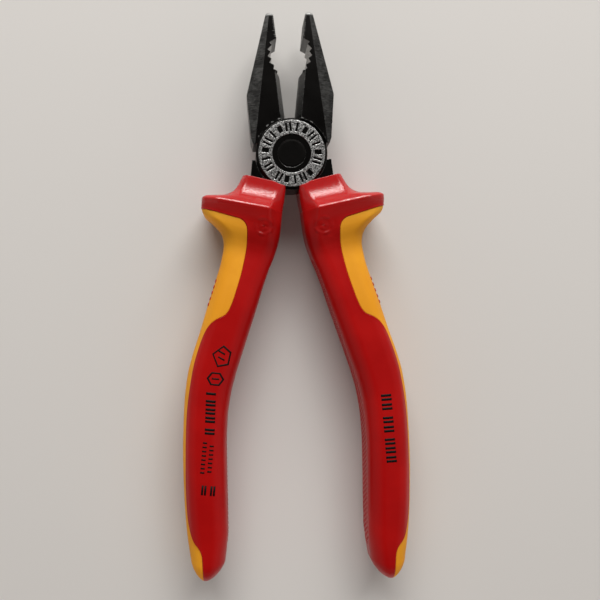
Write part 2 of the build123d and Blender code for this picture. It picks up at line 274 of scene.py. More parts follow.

# Colours: linear red, green, blue and alpha. Plastics have a main tone, a paler one for rubbed
# patches and painted light, and a dark one that also gives the painted shade.
RED_TONES = ((0.42, 0.0035, 0.003, 1), (0.53, 0.012, 0.012, 1), (0.36, 0.0025, 0.0025, 1))
YELLOW_TONES = ((0.84, 0.36, 0.018, 1), (0.90, 0.46, 0.05, 1), (0.75, 0.30, 0.012, 1))
INK_TONES = ((0.004, 0.003, 0.003, 1), (0.04, 0.006, 0.006, 1))
BLACK_TONES = ((0.005, 0.0045, 0.004, 1), (0.012, 0.011, 0.0105, 1))
FACET_TONES = ((0.3, 0.3, 0.29, 1), (1.0, 0.98, 0.95, 1))
SILVER_TONES = ((0.28, 0.277, 0.273, 1), (0.97, 0.965, 0.955, 1))
BEVEL_TONES = ((0.03, 0.03, 0.029, 1), (0.10, 0.10, 0.098, 1))
TOOTH_TONES = ((0.26, 0.26, 0.25, 1), (0.52, 0.51, 0.50, 1))
PIT_GREY = (0.08, 0.08, 0.08, 1)
# Pale bare-metal grey: worn edges, and painted highlight on the seam and the tips
WEAR_AND_HIGHLIGHT_GREY = (0.42, 0.42, 0.41, 1)
SCRATCH_BROWN = (0.045, 0.036, 0.030, 1)
FLOOR_TONE = (0.64, 0.62, 0.597, 1)
SKY_TONES = ((0, 0, 0, 1), (0.96, 0.95, 0.93, 1))

# Surroundings
FLOOR_REACH = 1500.0
LIT_POINT = (0, -0.045, 0)    # metres
SKY_RISE = 0.35               # slope of the way to the bright sides
SKY_LEAST = 0.06
SKY_STRENGTH = 0.26


def smooth(keys, places):
    """Values at places along smooth curves through (place, value) keys, without overshoot."""
    xs, ys = (np.array(column, float) for column in zip(*keys))
    steps, rises = np.diff(xs), np.diff(ys)
    slopes = rises / steps
    tangents = np.zeros(len(xs))
    before, after = slopes[:-1], slopes[1:]
    same_way = before * after > 0
    weight_a = 2 * steps[1:] + steps[:-1]
    weight_b = steps[1:] + 2 * steps[:-1]
    safe_before = np.where(same_way, before, 1.0)
    safe_after = np.where(same_way, after, 1.0)
    mean = (weight_a + weight_b) / (weight_a / safe_before + weight_b / safe_after)
    tangents[1:-1] = np.where(same_way, mean, 0.0)
    tangents[0], tangents[-1] = slopes[0], slopes[-1]
    x = np.clip(np.asarray(places, float), xs[0], xs[-1])
    i = np.clip(np.searchsorted(xs, x, side="right") - 1, 0, len(steps) - 1)
    t = (x - xs[i]) / steps[i]
    return (
        ys[i] * (1 + 2 * t) * (1 - t) ** 2
        + tangents[i] * steps[i] * t * (1 - t) ** 2
        + ys[i + 1] * t * t * (3 - 2 * t)
        + tangents[i + 1] * steps[i] * t * t * (t - 1)
    )


def value_at(keys, station):
    """One value of such a curve."""
    return float(smooth(keys, [station])[0])


def eased(value):
    """0 to 1 with a soft start and end."""
    share = np.clip(value, 0, 1)
    return share * share * (3 - 2 * share)


# ---------------------------------------------------------------- the grip's surface

def closing(station, powers):
    """From 1 where the rounded end starts to 0 at the very end."""
    share = np.clip((station - CAP_STATION) / (END_STATION - CAP_STATION), 0, 1)
    return (1 - share ** powers[0]) ** powers[1]


def rounded(corners, radii):
    """Open outline through corners, each inner corner replaced by a curve."""
    points = [corners[0]]
    for before, corner, after, radius in zip(corners, corners[1:], corners[2:], radii):
        to_before, to_after = before - corner, after - corner
        length_before, length_after = np.linalg.norm(to_before), np.linalg.norm(to_after)
        start = corner + to_before * min(radius / length_before, CORNER_SHARE)
        end = corner + to_after * min(radius / length_after, CORNER_SHARE)
        for t in np.linspace(0, 1, CORNER_POINTS):
            points.append(start * (1 - t) ** 2 + corner * 2 * t * (1 - t) + end * t * t)
    points.append(corners[-1])
    return np.array(points)


def half_section(station):
    """Front half of the grip's outline at a station, and the middle of its width.

    The outline goes from the inner wall over the face to the outer side.
    """
    def at(keys):
        return value_at(keys, station)

    shut = closing(station, END_WIDTH)
    low = closing(station, END_HEIGHT)
    inner = TIP_X + (at(INNER_X) - TIP_X) * shut
    outer = TIP_X + (at(OUTER_X) - TIP_X) * shut
    height = at(FACE_HEIGHT) * low
    corners = np.array([
        (inner, 0.0),
        (inner, at(INNER_WALL) * low),
        (inner + at(INNER_CHAMFER) * shut, height),
        (outer - at(OUTER_CHAMFER) * shut, height),
        (outer, at(OUTER_WALL) * low),
        (outer, 0.0),
    ])
    roundings = (WALL_ROUNDING, INNER_ROUNDING, OUTER_ROUNDING, WALL_ROUNDING)
    points = rounded(corners, [at(keys) * shut for keys in roundings])
    share = (points[:, 0] - inner) / (outer - inner)
    on_face = (points[:, 1] / height) ** CROWN_EDGE
    points[:, 1] += FACE_CROWN * shut * 4 * share * (1 - share) * on_face
    return points, (inner + outer) / 2


def distances_along(points):
    """Distance of each of an outline's points from its start."""
    return np.concatenate([[0], np.cumsum(np.linalg.norm(np.diff(points, axis=0), axis=1))])


def zone_edge_x(station):
    """Where the yellow zone starts at a station, with and without its round upper corner."""
    line = value_at(ZONE_X, station)
    reach = np.clip(ZONE_TOP + ZONE_CORNER - station, 0, ZONE_CORNER)
    return line + ZONE_CORNER - math.sqrt(ZONE_CORNER ** 2 - reach ** 2), line


def section_places(points, edge_x):
    """Distances along a half section of its columns, and that of the zone's edge.

    The columns lie along the wall, round the corner and over the face up to the edge, then
    over the zone.
    """
    along = distances_along(points)
    top = np.argmax(points[:, 0] >= min(edge_x, points[:, 0].max() - EDGE_INSIDE))
    x0, x1 = points[top - 1, 0], points[top, 0]
    share = np.clip((edge_x - x0) / max(x1 - x0, TINY), 0, 1)
    edge = along[top - 1] + share * (along[top] - along[top - 1])
    wall = WALL_SHARE * along[1]
    scale = min(1.0, (along[-1] - edge) / EDGE_ROOM, (edge - wall) / EDGE_ROOM)
    near_red = edge - EDGE_STEPS[::-1] * scale
    near_zone = edge + EDGE_STEPS * scale
    places = np.concatenate([
        np.linspace(0, wall, WALL_COLUMNS, endpoint=False),
        np.linspace(wall, near_red[0], RED_COLUMNS, endpoint=False),
        near_red,
        [edge],
        near_zone,
        np.linspace(near_zone[-1], along[-1], ZONE_COLUMNS)[1:],
    ])
    return places, edge


def stations():
    """Places of the sections, closer together where the shape turns quickly."""
    rows = [np.arange(low, high - step / 2, step) for low, high, step in STATION_SPANS]
    turn = np.linspace(0, math.pi / 2, END_SECTIONS, endpoint=False)
    rows.append(CAP_STATION + (END_STATION - CAP_STATION) * np.sin(turn))
    return np.concatenate(rows)


def grip_grid():
    """Undisplaced surface of a grip as a grid, with the data that its details need.

    Those are each point's distance from the zone's edge, how far the round corner moves
    that edge in each section, and the sections' stations.
    """
    rows, distances, edge_shifts, places_s = [], [], [], stations()
    for station in places_s:
        points, middle = half_section(station)
        edge_x, line = zone_edge_x(station)
        places, edge = section_places(points, edge_x)
        along = distances_along(points)
        x, z = (np.interp(places, along, column) for column in points.T)
        y = -station + value_at(SECTION_SLOPE, station) * (x - middle)
        front = np.stack([x, y, z], axis=1)
        rows.append(np.concatenate([front, front[-2:0:-1] * (1, 1, -1)]))
        from_edge = places - edge
        distances.append(np.concatenate([from_edge, from_edge[-2:0:-1]]))
        edge_shifts.append(edge_x - line)
    return np.array(rows), np.array(distances), np.array(edge_shifts), places_s


def zone_distance(distances, edge_shifts, places_s):
    """Distance inside the yellow zone's rounded outline; negative on the red side."""
    across = distances + edge_shifts[:, None]
    below = (places_s - ZONE_TOP)[:, None]
    corner = np.hypot(np.maximum(ZONE_CORNER - across, 0), np.maximum(ZONE_CORNER - below, 0))
    return ZONE_CORNER - corner + np.maximum(np.minimum(across, below) - ZONE_CORNER, 0)


def grid_normals(grid):
    """Outward unit normals of a grid whose columns go round the handle."""
    around = np.roll(grid, -1, axis=1) - np.roll(grid, 1, axis=1)
    normals = np.cross(np.gradient(grid, axis=0), around)
    return normals / np.maximum(np.linalg.norm(normals, axis=2, keepdims=True), TINY)


def panel_relief(grid, places_s):
    """Sunk panel with raised dots on the inner wall."""
    z = grid[:, :, 2]
    s = places_s[:, None]
    low, high = PANEL_STATIONS
    on_wall = grid[:, :, 0] < grid[:, :1, 0] + PANEL_REACH
    past_end = np.maximum(np.maximum(low + PANEL_HALF - s, s - (high - PANEL_HALF)), 0)
    inside = PANEL_HALF - np.hypot(past_end, z)
    sunk = PANEL_DEPTH * np.clip(inside / PANEL_SLOPE, 0, 1) * on_wall
    row = np.round(z / DOT_ROWS)
    across = z - row * DOT_ROWS
    along = s / DOT_PITCH + 0.5 * (row % 2)
    along = (along - np.round(along)) * DOT_PITCH
    dot = np.clip(1 - (np.hypot(across, along) / DOT_RADIUS) ** 2, 0, 1)
    return -sunk + DOT_HEIGHT * dot * (inside > DOT_MARGIN) * on_wall


def knobbly(angle, knobs):
    """Height round a ring or a dot, as a share, with knobs all round it."""
    count, depth = knobs
    return 1 - depth + depth * np.cos(count * angle)


def face_relief(grid):
    """Shallow thumb dish with a plain knobbly ring and dot in it, on both faces."""
    x, y, z = grid[:, :, 0], grid[:, :, 1], grid[:, :, 2]
    away = np.hypot((x - THUMB_CENTRE[0]) / THUMB_SIZE[0], (y - THUMB_CENTRE[1]) / THUMB_SIZE[1])
    dish = THUMB_DEPTH * eased((1 - away) / THUMB_SLOPE)
    from_x, from_y = x - EMBLEM_CENTRE[0], y - EMBLEM_CENTRE[1]
    away, angle = np.hypot(from_x, from_y), np.arctan2(from_y, from_x)
    radius, width = EMBLEM_RING
    ring = eased((width / 2 - np.abs(away - radius)) / RING_SOFT + 0.5) * knobbly(angle, RING_KNOBS)
    dot = eased((EMBLEM_DOT - away) / DOT_SOFT + 0.5) * knobbly(angle, DOT_KNOBS)
    low, high = FACE_START
    on_face = eased((np.abs(z) - low) / (high - low))
    return (EMBLEM_HEIGHT * np.maximum(ring, dot) - dish) * on_face


def lobe_line(x, radius):
    """The y of a lobe's lower edge at x, for a circle round the rivet."""
    return -np.sqrt(np.maximum(radius ** 2 - x ** 2, 0))


def notch_shift(grid, places_s):
    """Moves the collar's end back from the round lobes, most of all below its thin lips."""
    x, z = grid[:, :, 0], grid[:, :, 2]
    collar_end = np.interp(x, *zip(*COLLAR_TOP))
    below_lip = np.clip((NOTCH_HALF + NOTCH_STEP - np.abs(z)) / NOTCH_STEP, 0, 1)
    radius = LIP_RADIUS + (NOTCH_RADIUS - LIP_RADIUS) * below_lip
    fade = np.clip(1 - (places_s - TOP_STATION) / NOTCH_FADE, 0, 1)[:, None] ** NOTCH_POWER
    return np.minimum(lobe_line(x, radius) - collar_end, 0) * fade


def clear_of_lobes(points):
    """Points moved down out of the space that the collar's notch leaves for the lobes."""
    x, y, z = points.T
    beside = np.abs(z) < NOTCH_HALF
    lowered = np.where(beside, np.minimum(y, lobe_line(x, NOTCH_RADIUS)), y)
    return np.stack([x, lowered, z], axis=1)


def shell(grid):
    """Corners and faces of a closed solid: a grid, rings in its upper end, and two end faces."""
    rows, columns, _ = grid.shape
    centre = np.array([COLLAR_MIDDLE, grid[0, :, 1].mean(), 0.0])
    rings = [clear_of_lobes(centre + (grid[0] - centre) * share) for share in COLLAR_RINGS]
    corners = np.concatenate(rings + [grid.reshape(-1, 3)])
    last = (rows + len(rings) - 1) * columns
    faces = []
    for i in range(0, last, columns):
        for j in range(columns):
            k = (j + 1) % columns
            faces.append((i + j, i + k, i + columns + k, i + columns + j))
    faces.append(tuple(range(columns - 1, -1, -1)))
    faces.append(tuple(range(last, last + columns)))
    return corners, faces


def grip_surfaces():
    """The red body's and the yellow zone's outer surfaces, as grids."""
    grid, distances, edge_shifts, places_s = grip_grid()
    normals = grid_normals(grid)
    inside = zone_distance(distances, edge_shifts, places_s)
    shut = closing(places_s, END_WIDTH)[:, None]
    red_step = np.interp(inside, *zip(*RED_EDGE)) * shut
    zone_step = np.interp(inside, *zip(*ZONE_EDGE)) * shut
    relief = panel_relief(grid, places_s) + face_relief(grid)
    red_surface = grid + normals * (red_step + relief)[:, :, None]
    red_surface[:, :, 1] += notch_shift(grid, places_s)
    zone_surface = grid + normals * zone_step[:, :, None]
    return {"grip_body": red_surface, "soft_zone": zone_surface[places_s > ZONE_ROOT]}


# ---------------------------------------------------------------- material helpers

def new_material(name):
    """Node material with its tree and shader."""
    material = bpy.data.materials.new(name)
    material.use_nodes = True
    tree = material.node_tree
    tree.nodes.clear()
    shader = tree.nodes.new("ShaderNodeBsdfPrincipled")
    output = tree.nodes.new("ShaderNodeOutputMaterial")
    tree.links.new(shader.outputs[0], output.inputs[0])
    return material, tree, shader


def node(tree, kind, inputs=None, **settings):
    """Adds a node, sets its properties and its input values or links."""
    made = tree.nodes.new(kind)
    for key, value in settings.items():
        setattr(made, key, value)
    feed(tree, made, inputs or {})
    return made


def feed(tree, made, inputs):
    """Gives a node's inputs their values or links."""
    for key, value in inputs.items():
        if isinstance(value, bpy.types.NodeSocket):
            tree.links.new(value, made.inputs[key])
        else:
            made.inputs[key].default_value = value


def math_node(tree, operation, a, b=0.0):
    """One arithmetic step; a and b are numbers or sockets."""
    return node(tree, "ShaderNodeMath", {0: a, 1: b}, operation=operation).outputs[0]


def times(tree, a, b):
    """Product of two numbers."""
    return math_node(tree, "MULTIPLY", a, b)


def larger(tree, a, b):
    """The larger of two numbers."""
    return math_node(tree, "MAXIMUM", a, b)


def vector_math(tree, operation, *vectors):
    """Number that an operation on vectors gives."""
    inputs = dict(enumerate(vectors))
    return node(tree, "ShaderNodeVectorMath", inputs, operation=operation).outputs["Value"]


def dot_with(tree, vector, direction):
    """How far a vector goes in a fixed direction."""
    return vector_math(tree, "DOT_PRODUCT", vector, tuple(direction))


def noise(tree, vector, scale, detail=3.0, rough=0.5):
    """Noise value at a scale given in waves per metre."""
    inputs = {"Vector": vector, "Scale": scale, "Detail": detail, "Roughness": rough}
    return node(tree, "ShaderNodeTexNoise", inputs).outputs["Fac"]


def stretched(tree, vector, waves, turn=(0, 0, 0)):
    """Places in waves, with a number of waves per metre for each axis."""
    inputs = {"Vector": vector, "Rotation": turn, "Scale": waves}
    return node(tree, "ShaderNodeMapping", inputs).outputs[0]


def ramp(tree, value, low, high):
    """0 to 1 as value goes from low to high."""
    inputs = {"Value": value, "From Min": low, "From Max": high}
    return node(tree, "ShaderNodeMapRange", inputs, interpolation_type="SMOOTHSTEP").outputs[0]


def reaches(tree, length, limits):
    """0 to 1 as a length in metres goes from the first to the second limit in millimetres."""
    return ramp(tree, length, limits[0] * MM, limits[1] * MM)


def band(tree, length, limits, soft):
    """1 where a length in metres lies between two limits in millimetres, else 0."""
    low, high = limits
    up = reaches(tree, length, (low - soft, low + soft))
    return times(tree, up, reaches(tree, length, (high + soft, high - soft)))


def mix_colour(tree, share, first, second):
    """Colour between two colours."""
    inputs = {0: share, 6: first, 7: second}
    return node(tree, "ShaderNodeMix", inputs, data_type="RGBA").outputs[2]


def mix_value(tree, share, first, second):
    """Number between two numbers."""
    inputs = {0: share, 2: first, 3: second}
    return node(tree, "ShaderNodeMix", inputs, data_type="FLOAT").outputs[0]


def dimmed(colour, factor):
    """A colour with less light in it."""
    return (*(factor * part for part in colour[:3]), 1)


def roughened(tree, height, strength, depth, normal=None):
    """Normal of a surface with bumps as deep as given in millimetres."""
    inputs = {"Height": height, "Strength": strength, "Distance": depth * MM}
    if normal is not None:
        inputs["Normal"] = normal
    return node(tree, "ShaderNodeBump", inputs).outputs[0]


# ---------------------------------------------------------------- materials

def plastic(name, tones, rough, grain, shine):
    """Moulded plastic in a main tone, a paler one for rubbed patches and painted light, and a
    dark one, with fine grain.

    The guards and the collars above them get painted light as the paler tone, the collars
    sparkle, and a band below the guards gets painted shade as a darker tone.
    """
    main, rubbed_and_lit_tone, dark = tones
    material, tree, shader = new_material(name)
    place = node(tree, "ShaderNodeTexCoord").outputs["Object"]
    x, y, _ = node(tree, "ShaderNodeSeparateXYZ", {0: place}).outputs
    lean = times(tree, math_node(tree, "ABSOLUTE", x), math.tan(HALF_OPENING))
    down = math_node(tree, "SUBTRACT", lean, y)

    cloud = noise(tree, place, 70.0, detail=4.0)
    tone = mix_colour(tree, ramp(tree, cloud, 0.35, 0.68), dark, main)
    # Painted shade: the band below the guards is darkened
    painted_shade = times(tree, band(tree, down, PAINTED_SHADE_BAND, PAINTED_SHADE_SOFT), PAINTED_SHADE_SHARE)
    tone = mix_colour(tree, painted_shade, tone, dimmed(dark, PAINTED_SHADE_DARK))
    rubbed_and_lit = ramp(tree, noise(tree, place, 260.0, detail=6.0, rough=0.65), 0.60, 0.80)
    # Painted light: the guards and collars are made paler
    guard = times(tree, reaches(tree, down, GUARD_LIMIT), GUARD_PAINTED_LIGHT)
    rubbed_and_lit = larger(tree, times(tree, rubbed_and_lit, RUBBED_SHARE), guard)

    collar = reaches(tree, down, COLLAR_LIMIT)
    gloss = mix_value(tree, cloud, rough - 0.05, rough + 0.07)
    spark = ramp(tree, noise(tree, place, 2600.0, detail=2.0), 0.36, 0.64)
    sparkle = mix_value(tree, spark, *COLLAR_SHINE)
    fine = noise(tree, place, 2000.0, rough=0.6)
    feed(tree, shader, {
        "Base Color": mix_colour(tree, rubbed_and_lit, tone, rubbed_and_lit_tone),
        "Roughness": mix_value(tree, collar, gloss, COLLAR_ROUGH),
        "Specular IOR Level": mix_value(tree, collar, shine, sparkle),
        "Normal": roughened(tree, fine, grain, 0.05),
    })
    return material


def ink():
    """Printed black ink, a little worn."""
    material, tree, shader = new_material("black_print")
    place = node(tree, "ShaderNodeTexCoord").outputs["Object"]
    wear_and_highlight = ramp(tree, noise(tree, place, 900.0, detail=5.0, rough=0.7), 0.66, 0.80)
    feed(tree, shader, {
        "Base Color": mix_colour(tree, wear_and_highlight, *INK_TONES),
        "Roughness": 0.6,
        "Specular IOR Level": 0.15,
    })
    return material


def black_steel(tree, place):
    """Blackened steel's colour, its slow clouds and its fine specks."""
    cloud = noise(tree, place, 160.0, detail=5.0, rough=0.6)
    speck = noise(tree, place, 1900.0, rough=0.6)
    return mix_colour(tree, cloud, *BLACK_TONES), cloud, speck


def facet_normals(side):
    """Outward normals of a jaw's front and back facets at rest; side 1 is the right jaw."""
    normal = (FACET_EDGE - FACET_ROOT).cross(FACET_TIP - FACET_ROOT).normalized()
    if normal.z < 0:
        normal.negate()
    turn = Matrix.Rotation(-side * HALF_OPENING, 3, "Z")
    front = turn @ (Matrix.Diagonal((side, 1, 1)) @ normal)
    return front, Vector((front.x, front.y, -front.z))


def ground_facets(tree, place, normal, side):
    """1 on the jaw's ground outer facets, less where blotches of the blackening are left."""
    facet = 0.0
    for direction in facet_normals(side):
        facet = larger(tree, ramp(tree, dot_with(tree, normal, direction), *FACET_MATCH), facet)
    bare = ramp(tree, noise(tree, place, 330.0, detail=5.0, rough=0.7), 0.38, 0.60)
    return times(tree, facet, mix_value(tree, bare, 0.45, 1.0))


def facet_grey(tree, grind, ground):
    """Ground steel's streaks; ground is how pale they get."""
    dark, pale = (dimmed(tone, ground) for tone in FACET_TONES)
    return mix_colour(tree, ramp(tree, grind, 0.25, 0.75), dark, pale)


def joint_ring(tree, radius, z, face):
    """1 on the flat ring of the lever's joint face."""
    depth = math_node(tree, "ABSOLUTE", math_node(tree, "SUBTRACT", z, face))
    on_ring = band(tree, radius, RING_RADII, RING_SOFT_EDGE)
    return times(tree, on_ring, reaches(tree, depth, RING_DEPTH))


def ring_silver(tree, place, scratch):
    """Scratched and pitted silver."""
    silver = mix_colour(tree, ramp(tree, scratch, 0.3, 0.7), *SILVER_TONES)
    clean = ramp(tree, noise(tree, place, 2600.0, detail=2.0), 0.40, 0.56)
    return mix_colour(tree, clean, PIT_GREY, silver)


def worked_tone(tree, grind, y):
    """Dark cutter bevels, the bright teeth beyond them and the dark serrations at the tip."""
    dark = mix_colour(tree, grind, *BEVEL_TONES)
    toothed = mix_colour(tree, grind, *TOOTH_TONES)
    worked = mix_colour(tree, reaches(tree, y, TEETH_FROM), dark, toothed)
    return mix_colour(tree, reaches(tree, y, SERRATION_FROM), worked, dark)


def worn_edges(tree, edge_normal, near_inner, speck):
    """Bare metal on sharp edges, most of it near the jaws' centre line."""
    true_normal = node(tree, "ShaderNodeNewGeometry").outputs["True Normal"]
    bent = vector_math(tree, "DOT_PRODUCT", edge_normal, true_normal)
    wear_and_highlight = times(tree, ramp(tree, bent, 0.985, 0.90), ramp(tree, speck, 0.38, 0.62))
    return times(tree, wear_and_highlight, mix_value(tree, near_inner, 0.40, 0.95))


def seam_highlight(tree, place, radius, y):
    """Painted highlight in patches of pale bare-metal grey on the arc where the jaws' roots meet the
    round lobes, on the side towards the tips.
    """
    seam = times(tree, band(tree, radius, SEAM_RADII, SEAM_SOFT_EDGE), reaches(tree, y, SEAM_FROM))
    return times(tree, seam, ramp(tree, noise(tree, place, 600.0), 0.48, 0.62))


def tip_wear_and_highlight(tree, y, near_inner, speck):
    """Pale bare-metal grey at the jaw's very tip near the centre line: wear, and a painted highlight
    for the tip's glint.
    """
    tip = times(tree, reaches(tree, y, TIP_FROM), near_inner)
    return times(tree, tip, ramp(tree, speck, 0.28, 0.42))


def steel(name, side, face, ground):
    """Lever steel: ground facets, working faces, worn edges, a silver joint ring, and painted
    highlight on the lobes' seam and at the tips.

    side is the jaw's side at rest, face is the height of the lever's joint face in metres
    and ground is how pale its ground facets get.
    """
    material, tree, shader = new_material(name)
    coordinates = node(tree, "ShaderNodeTexCoord")
    place, normal = coordinates.outputs["Object"], coordinates.outputs["Normal"]
    x, y, z = node(tree, "ShaderNodeSeparateXYZ", {0: place}).outputs
    radius = vector_math(tree, "LENGTH", node(tree, "ShaderNodeCombineXYZ", {0: x, 1: y}).outputs[0])
    inwards = Vector((-side * math.cos(HALF_OPENING), math.sin(HALF_OPENING), 0))
    near_inner = reaches(tree, dot_with(tree, place, -inwards), INNER_STRIP)
    edge_normal = node(tree, "ShaderNodeBevel", {"Radius": EDGE_RADIUS * MM}, samples=6).outputs[0]
    grind = noise(tree, stretched(tree, place, GRIND_WAVES), 1.0, detail=4.0, rough=0.65)
    scratch = noise(tree, place, 1300.0, detail=6.0, rough=0.7)
    tone, cloud, speck = black_steel(tree, place)

    facets = ground_facets(tree, place, normal, side)
    tone = mix_colour(tree, facets, tone, facet_grey(tree, grind, ground))
    ring = joint_ring(tree, radius, z, face)
    tone = mix_colour(tree, ring, tone, ring_silver(tree, place, scratch))
    works = ramp(tree, dot_with(tree, normal, inwards), 0.30, 0.55)
    works = times(tree, works, reaches(tree, y, BEVELS_FROM))
    tone = mix_colour(tree, works, tone, worked_tone(tree, grind, y))
    wear_and_highlight = worn_edges(tree, edge_normal, near_inner, speck)
    # painted highlight on the seam round the lobes
    wear_and_highlight = larger(tree, wear_and_highlight, seam_highlight(tree, place, radius, y))
    # worn tip, with a painted highlight
    wear_and_highlight = larger(tree, wear_and_highlight, tip_wear_and_highlight(tree, y, near_inner, speck))

    dull = mix_value(tree, cloud, 0.24, 0.33)
    polished = mix_value(tree, scratch, 0.20, 0.38)
    height = math_node(tree, "ADD", times(tree, speck, 0.6), times(tree, grind, 0.5))
    feed(tree, shader, {
        "Base Color": mix_colour(tree, wear_and_highlight, tone, WEAR_AND_HIGHLIGHT_GREY),
        "Metallic": 0.85,
        "Specular IOR Level": 0.2,
        "Roughness": mix_value(tree, larger(tree, ring, works), dull, polished),
        "Normal": roughened(tree, height, 0.35, 0.03, edge_normal),
    })
    return material


def rivet_finish():
    """The rivet's blackened heads, with faint scratches."""
    material, tree, shader = new_material("rivet_black")
    place = node(tree, "ShaderNodeTexCoord").outputs["Object"]
    tone, cloud, speck = black_steel(tree, place)
    streaks = noise(tree, stretched(tree, place, SCRATCH_WAVES, SCRATCH_TURN), 1.0, 5.0, 0.7)
    scratch = times(tree, ramp(tree, streaks, 0.60, 0.75), 0.6)
    feed(tree, shader, {
        "Base Color": mix_colour(tree, scratch, tone, SCRATCH_BROWN),
        "Metallic": 0.85,
        "Specular IOR Level": 0.2,
        "Roughness": mix_value(tree, cloud, 0.30, 0.40),
        "Normal": roughened(tree, speck, 0.2, 0.03),
    })
    return material


def floor_material():
    """Plain pale matt surface."""
    material, tree, shader = new_material("pale_floor")
    feed(tree, shader, {"Base Color": FLOOR_TONE, "Roughness": 0.75})
    return material


# ---------------------------------------------------------------- the pieces

def new_piece(name, corners, faces):
    """Smooth mesh object from corners in millimetres."""
    mesh = bpy.data.meshes.new(name)
    mesh.from_pydata((np.asarray(corners) * MM).tolist(), [], faces)
    mesh.validate()
    mesh.shade_smooth()
    thing = bpy.data.objects.new(name, mesh)
    bpy.context.scene.collection.objects.link(thing)
    return thing


def rest_matrix(side):
    """Closed right-hand shape to its place at rest, on the right (1) or the left (-1)."""
    lift = Matrix.Translation((0, 0, HALF_JOINT * MM))
    place = lift @ Matrix.Rotation(side * HALF_OPENING, 4, "Z")
    return place if side > 0 else place @ Matrix.Rotation(math.pi, 4, "Y")


def outwards(thing):
    """Makes every face look out of the solid."""
    shape = bmesh.new()
    shape.from_mesh(thing.data)
    bmesh.ops.recalc_face_normals(shape, faces=shape.faces)
    shape.to_mesh(thing.data)
    shape.free()


def finish_piece(thing, side, body, slot, material, nodes=()):
    """Lays a closed right-hand piece in its place, with its material and body; slot is not used."""
    thing.data.transform(rest_matrix(side))
    outwards(thing)
    thing.data.materials.append(material)
    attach(thing, body)
    if nodes:
        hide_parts(*nodes)


def build_grips(surfaces, finishes):
    """Red body and yellow zone of both grips."""
    for side, hand, body in HANDS:
        for part, surface in surfaces.items():
            thing = new_piece(f"{hand}_{part}_skin", *shell(surface))
            material, slot = finishes[part]
            finish_piece(thing, side, body, slot, material, [f"{hand}_{part}"])


def rounded_block(size, rounding):
    """Corners and faces of a block with rounded edges."""
    shape = bmesh.new()
    bmesh.ops.create_cube(shape, size=1.0)
    bmesh.ops.scale(shape, vec=size, verts=shape.verts)
    edges = shape.edges[:]
    bmesh.ops.bevel(shape, geom=edges, offset=rounding, segments=3, affect="EDGES", profile=0.5)
    corners = np.array([v.co for v in shape.verts])
    faces = [tuple(v.index for v in f.verts) for f in shape.faces]
    shape.free()
    return corners, faces


def joined(shapes):
    """One list of corners and one of faces from several."""
    corners, faces, total = [], [], 0
    for points, polygons in shapes:
        corners.append(points)
        faces += [tuple(total + i for i in polygon) for polygon in polygons]
        total += len(points)
    return np.concatenate(corners), faces


def build_bars(red):
    """Row of red bars that stand out of the yellow zone on the outer side."""
    blocks = []
    corners, faces = rounded_block(BAR_SIZE, BAR_ROUNDING)
    for index in range(BAR_COUNT):
        station = BAR_FIRST + index * BAR_PITCH
        above, outer, below = smooth(OUTER_X, [station - 1, station, station + 1])
        spin = np.array(Matrix.Rotation(-math.atan2(below - above, 2.0), 3, "Z"))
        middle = np.array([outer + BAR_PROUD - BAR_SIZE[0] / 2, -station, 0])
        blocks.append((corners @ spin + middle, faces))
    for side, hand, body in HANDS:
        thing = new_piece(f"{hand}_grip_bars", *joined(blocks))
        finish_piece(thing, side, body, "red_grip", red)


# ---------------------------------------------------------------- printed marks

def ribbon(one_edge, other_edge, loop, height_at):
    """Thin closed film between two edges, laid on a surface."""
    one_edge, other_edge = np.array(one_edge, float), np.array(other_edge, float)
    shares = (0.0, 0.5, 1.0)
    top = np.array([[a + (b - a) * t for t in shares] for a, b in zip(one_edge, other_edge)])
    heights = np.array([[height_at(x, y) for x, y in row] for row in top])
    count, across = heights.shape
    facing = 1 if heights.mean() > 0 else -1
    layers = []
    for lift in (PRINT_THICKNESS / 2, -PRINT_THICKNESS):
        layer = np.concatenate([top, (heights + facing * lift)[:, :, None]], axis=2)
        layers.append(layer.reshape(-1, 3))
    under = count * across
    faces = []
    for i in range(count if loop else count - 1):
        here, there = i * across, (i + 1) % count * across
        for j in range(across - 1):
            quad = (here + j, here + j + 1, there + j + 1, there + j)
            faces.append(quad)
            faces.append(tuple(under + n for n in reversed(quad)))
        for j in (0, across - 1):
            faces.append((here + j, there + j, under + there + j, under + here + j))
    if not loop:
        for start in (0, under - across):
            for a in range(start, start + across - 1):
                faces.append((a, a + 1, under + a + 1, under + a))
    return np.concatenate(layers), faces


def bar_print(middle, size, height_at, turn=0.0):
    """Printed bar; size is across and along the handle, turn is in degrees."""
    (x, y), (across, along) = middle, size
    cos, sin = math.cos(math.radians(turn)), math.sin(math.radians(turn))
    steps = np.linspace(-across / 2, across / 2, max(3, int(across / PRINT_STEP)))
    edges = [
        [(x + u * cos - v * sin, y + u * sin + v * cos) for u in steps]
        for v in (-along / 2, along / 2)
    ]
    return ribbon(*edges, False, height_at)


def outline_print(middle, points, height_at):
    """Printed outline of a straight-sided shape about a middle."""
    outer, inner = [], []
    shrink = 1 - OUTLINE_INSET / max(math.hypot(*p) for p in points)
    for (ax, ay), (bx, by) in zip(points, points[1:] + points[:1]):
        for t in np.linspace(0, 1, OUTLINE_STEPS, endpoint=False):
            px, py = ax + (bx - ax) * t, ay + (by - ay) * t
            outer.append((middle[0] + px, middle[1] + py))
            inner.append((middle[0] + px * shrink, middle[1] + py * shrink))
    return ribbon(outer, inner, True, height_at)


